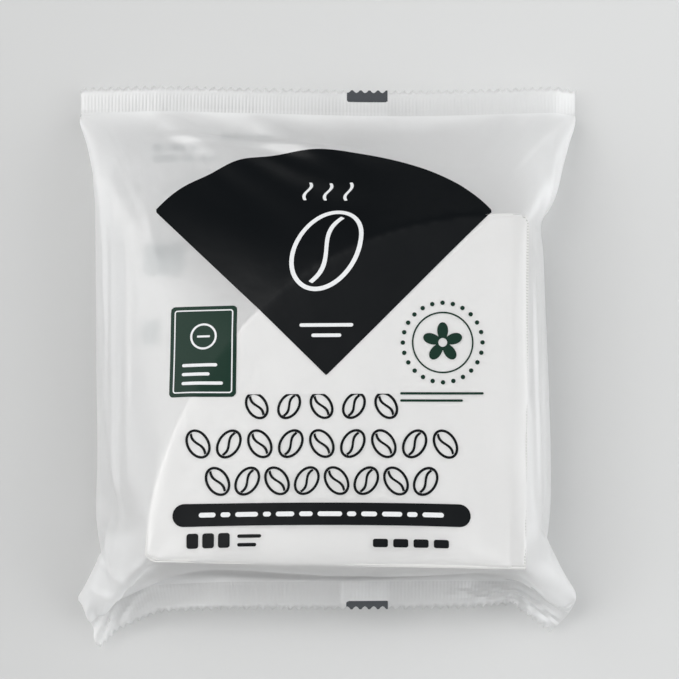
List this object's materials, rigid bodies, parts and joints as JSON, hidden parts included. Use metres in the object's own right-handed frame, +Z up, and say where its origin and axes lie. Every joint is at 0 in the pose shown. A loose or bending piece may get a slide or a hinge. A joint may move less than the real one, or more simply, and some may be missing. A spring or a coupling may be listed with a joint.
{
  "type": "sealed pack of cone paper coffee filters",
  "caption": "Sealed clear film pouch, lying flat, filled by a thick stack of white folded cone paper coffee filters with a crimped seam and a curved open rim.",
  "frame": {"origin": "under the middle of the pack's box, at the lowest face, which is the flat back seam that it lies on", "axes": "+X across the pack towards the filters' seam side, +Y from the bottom seal to the top seal, +Z up from the back to the front"},
  "size_m": [0.1752, 0.1968, 0.0353],
  "materials": {
    "film": "thin clear plastic film with a soft haze",
    "filter_paper": "matt creped white filter paper"
  },
  "bodies": {
    "root": {"film_pouch": "film", "top_filter": "filter_paper", "filter_bundle_01": "filter_paper", "filter_bundle_02": "filter_paper", "filter_bundle_03": "filter_paper", "filter_bundle_04": "filter_paper", "filter_bundle_05": "filter_paper", "filter_bundle_06": "filter_paper", "filter_bundle_07": "filter_paper", "filter_bundle_08": "filter_paper", "filter_bundle_09": "filter_paper", "filter_bundle_10": "filter_paper", "filter_bundle_11": "filter_paper"}
  },
  "joints": []
}
